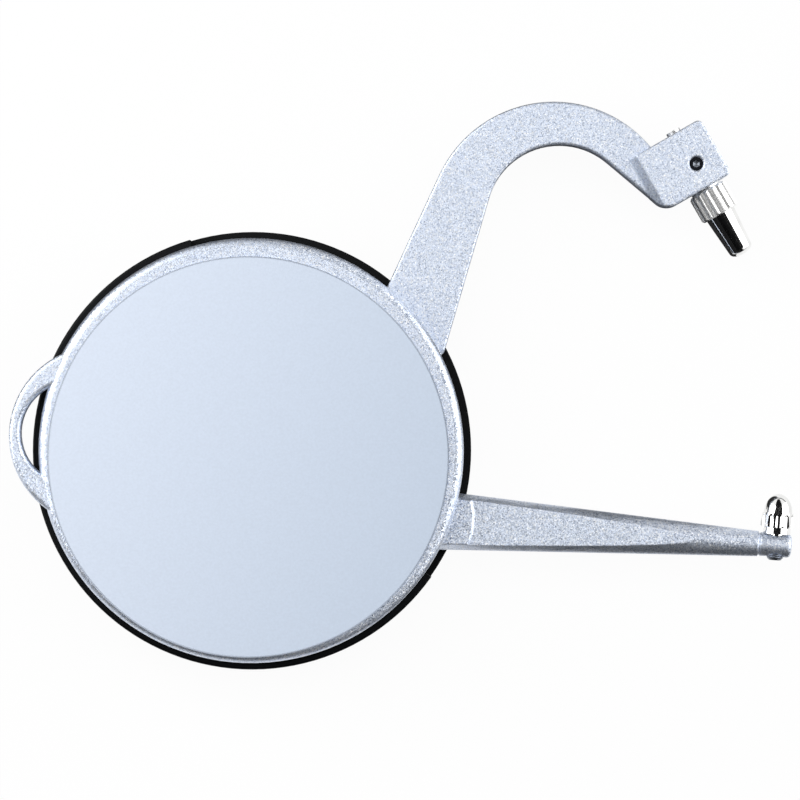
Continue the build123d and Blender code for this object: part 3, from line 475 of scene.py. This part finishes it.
def socket_floor(material):
    """Drill cone at the bottom of the set screw's hexagon socket."""
    corners, radius, rim, tip = 6, 0.50 * MM, 0.16 * MM, 0.03 * MM
    x, y, z = SOCKET_FLOOR
    turns = [radians(30) + 2 * pi * corner / corners for corner in range(corners)]
    hexagon = [(x + radius * cos(turn), y + radius * sin(turn)) for turn in turns]
    points = [(*place, z + rim) for place in hexagon] + [(*place, z) for place in hexagon]
    points.append((x, y, z + tip))
    faces = [(corner, (corner + 1) % corners, 2 * corners) for corner in range(corners)]
    faces += band(0, corners)
    faces.append(range(corners, 2 * corners))
    shown_mesh("socket_floor", points, faces, "arm", material)


def digit_bars(centre_x):
    """The seven bars of a display digit, each as the outline of a pointed strip."""
    half_height, half_width, half_bar = DIGIT_HEIGHT / 2, DIGIT_WIDTH / 2, DIGIT_BAR / 2
    gap = DIGIT_BAR * 0.12
    level_bars = [(0, half_height), (0, 0), (0, -half_height)]
    upright_bars = [(sx * half_width, sy * half_height / 2) for sx in (-1, 1) for sy in (-1, 1)]
    outlines = []
    kinds = ((level_bars, DIGIT_WIDTH, True), (upright_bars, half_height, False))
    for bars, length, level in kinds:
        reach = length / 2 - gap
        strip = [(-reach, 0), (half_bar - reach, half_bar), (reach - half_bar, half_bar)]
        strip += [(reach, 0), (reach - half_bar, -half_bar), (half_bar - reach, -half_bar)]
        for x, y in bars:
            outline = [(x + u, y + v) if level else (x + v, y + u) for u, v in strip]
            slanted = [(centre_x + u - DIGIT_SLANT * v, DISPLAY_Y + v) for u, v in outline]
            outlines.append(slanted)
    return outlines


def decimal_point(centre_x):
    """The outline of a round point low beside a digit."""
    corners = 12
    centre_y = DISPLAY_Y - POINT_DROP
    turns = [2 * pi * corner / corners for corner in range(corners)]
    return [(centre_x + POINT_RADIUS * cos(t), centre_y + POINT_RADIUS * sin(t)) for t in turns]


def display_digits(material):
    """The four digits of the display, with all bars faintly dark as when it is switched off."""
    near, far = DISPLAY_FACE - 0.045 * MM, DISPLAY_FACE - 0.015 * MM
    outlines = []
    for place in (-1.5, -0.5, 0.5, 1.5):
        outlines += digit_bars(place * DIGIT_PITCH)
    for place in (-1, 0, 1):
        outlines.append(decimal_point(place * DIGIT_PITCH + POINT_SHIFT))
    points, faces = [], []
    for outline in outlines:
        first, count = len(points), len(outline)
        points += [(x, y, near) for x, y in outline] + [(x, y, far) for x, y in outline]
        faces += [range(first, first + count), range(first + count, first + 2 * count)]
        faces += band(first, count)
    shown_mesh("display_digits", points, faces, "case", material)


# Worn steel for the contact's thread; on the set screw's socket floor its lighter tone is a
# painted highlight in the dark socket
worn_steel_and_sheen = plated("worn_steel_and_sheen", (150, 156, 166), 0.30, 0.44, marks=0.002 * MM)
contact_thread(worn_steel_and_sheen)
socket_floor(worn_steel_and_sheen)
display_digits(
    plain_stuff("digit_ink", (74, 80, 72), 0.34, 0.46, grain=0.5 * MM, contrast=0.05)
)


# Studio


def soft_box(name, size, place, share):
    """A soft box facing the gauge, with a share of full light for a white face that looks up."""
    run, rise = hypot(place[0] - CENTRE[0], place[1] - CENTRE[1]), place[2] - CENTRE[2]
    distance = hypot(run, rise)
    light = bpy.data.lights.new(name, "AREA")
    light.shape = "RECTANGLE"
    light.size, light.size_y = size
    light.energy = share * (pi * distance) ** 2 * distance / rise
    lamp = bpy.data.objects.new(name, light)
    lamp.location = place
    facing = Vector(CENTRE) - Vector(place)
    lamp.rotation_euler = facing.to_track_quat("-Z", "Y").to_euler()
    lamp.visible_camera = False
    add(lamp)


def staged_sheet(name, corners, color):
    """A flat sheet of the studio, with its own dull material."""
    mesh = bpy.data.meshes.new(name)
    mesh.from_pydata(corners, [], [range(len(corners))])
    material = bpy.data.materials.new(name)
    material.use_nodes = True
    surface = material.node_tree.nodes["Principled BSDF"]
    surface.inputs["Base Color"].default_value = (*color, 1)
    surface.inputs["Roughness"].default_value = 1.0
    mesh.materials.append(material)
    sheet = bpy.data.objects.new(name, mesh)
    return sheet


def flag(name, corners):
    """A black sheet that only mirrors see, as the dark parts of the studio."""
    sheet = staged_sheet(name, corners, FLAG_BLACK)
    sheet.visible_camera = False
    sheet.visible_diffuse = False
    sheet.visible_shadow = False
    sheet.visible_transmission = False
    add(sheet)


def level_sheet(low, high, z):
    """The corners of a level rectangle."""
    return [(low[0], low[1], z), (high[0], low[1], z), (high[0], high[1], z), (low[0], high[1], z)]


def curved_wall(name, start, end, radius, top):
    """A flag on the floor round the gauge, between two directions given in degrees."""
    for part in range(WALL_PARTS):
        turns = [radians(start + (end - start) * (part + side) / WALL_PARTS) for side in (0, 1)]
        near, far = [(CENTRE[0] + radius * cos(t), CENTRE[1] + radius * sin(t)) for t in turns]
        flag(f"{name}_{part}", [(*near, 0.0), (*far, 0.0), (*far, top), (*near, top)])


def seen_rays(tree):
    """1 for what the camera, mirrors and windows show, 0 for light that falls on the gauge."""
    path = tree.nodes.new("ShaderNodeLightPath")
    seen = path.outputs["Is Camera Ray"]
    for other in ("Is Glossy Ray", "Is Transmission Ray"):
        either = tree.nodes.new("ShaderNodeMath")
        either.operation = "MAXIMUM"
        tree.links.new(seen, either.inputs[0])
        tree.links.new(path.outputs[other], either.inputs[1])
        seen = either.outputs[0]
    return seen


def seen_white(tree, seen, lit, kind, share):
    """Shows a share of plain white where it is seen, in place of what the lamps give there."""
    shown = tree.nodes.new("ShaderNodeMath")
    shown.operation = "MULTIPLY"
    shown.inputs[1].default_value = share
    tree.links.new(seen, shown.inputs[0])
    white = tree.nodes.new(kind)
    white.inputs["Color"].default_value = (1, 1, 1, 1)
    white.inputs["Strength"].default_value = 1.0
    mix = tree.nodes.new("ShaderNodeMixShader")
    tree.links.new(shown.outputs[0], mix.inputs["Fac"])
    tree.links.new(lit, mix.inputs[1])
    tree.links.new(white.outputs[0], mix.inputs[2])
    return mix.outputs[0]


def pale_floor():
    """The plain floor that the gauge lies on."""
    floor = staged_sheet("floor", level_sheet((-3, -3), (3, 3), 0), (1, 1, 1))
    tree = floor.data.materials[0].node_tree
    surface = tree.nodes["Principled BSDF"]
    seen = seen_rays(tree)
    tone = tree.nodes.new("ShaderNodeMapRange")
    tone.inputs["To Min"].default_value = FLOOR_BOUNCE
    tone.inputs["To Max"].default_value = FLOOR_TONE
    tree.links.new(seen, tone.inputs["Value"])
    tree.links.new(tone.outputs["Result"], surface.inputs["Base Color"])
    mixed = seen_white(tree, seen, surface.outputs[0], "ShaderNodeEmission", FLOOR_WHITE)
    tree.links.new(mixed, tree.nodes["Material Output"].inputs["Surface"])
    add(floor)


def studio_world():
    """Weak even light from all round, with white behind the floor's edge."""
    world = bpy.data.worlds.new("studio")
    bpy.context.scene.world = world
    world.use_nodes = True
    tree = world.node_tree
    ambient = tree.nodes["Background"]
    ambient.inputs["Color"].default_value = AMBIENT_TINT
    ambient.inputs["Strength"].default_value = AMBIENT
    mixed = seen_white(tree, seen_rays(tree), ambient.outputs[0], "ShaderNodeBackground", 1.0)
    tree.links.new(mixed, tree.nodes["World Output"].inputs["Surface"])


studio_world()
pale_floor()

# Soft boxes: the key at the left, a broad one at the right and one overhead
soft_box("key_box", size=(0.35, 0.40), place=(-0.284, 0.130, 0.24), share=0.43)
soft_box("right_box", size=(1.0, 1.3), place=(0.93, 0.20, 0.48), share=0.30)
soft_box("overhead_box", size=(1.0, 0.6), place=(0.02, 0.34, 1.25), share=0.36)

# Flags overhead, on the floor and round the sides, which the plated contacts mirror
flag("ceiling_flag", level_sheet((-0.36, -0.80), (0.50, 3.20), FLAG_TOP))
flag("front_ceiling_flag", level_sheet((-0.75, -0.80), (-0.36, -0.15), FLAG_TOP))
flag("floor_flag", level_sheet((-1.00, 0.003), (0.0675, 1.00), FLAG_LIFT))
flag("arm_floor_flag", level_sheet((0.045, -0.004), (0.0675, 0.003), FLAG_LIFT))
flag("front_floor_flag", level_sheet((0.03, -0.60), (0.50, -0.0235), FLAG_LIFT))
curved_wall("front_flag", start=200, end=318, radius=0.60, top=FLAG_TOP)
curved_wall("back_flag", start=35, end=165, radius=0.90, top=0.11)

camera_data = bpy.data.cameras.new("camera")
camera_data.lens = CAMERA_LENS
camera_data.sensor_width = SENSOR_WIDTH
camera = bpy.data.objects.new("camera", camera_data)
camera.location = CAMERA_PLACE
add(camera)
bpy.context.scene.camera = camera
bpy.context.scene.view_settings.view_transform = "Standard"
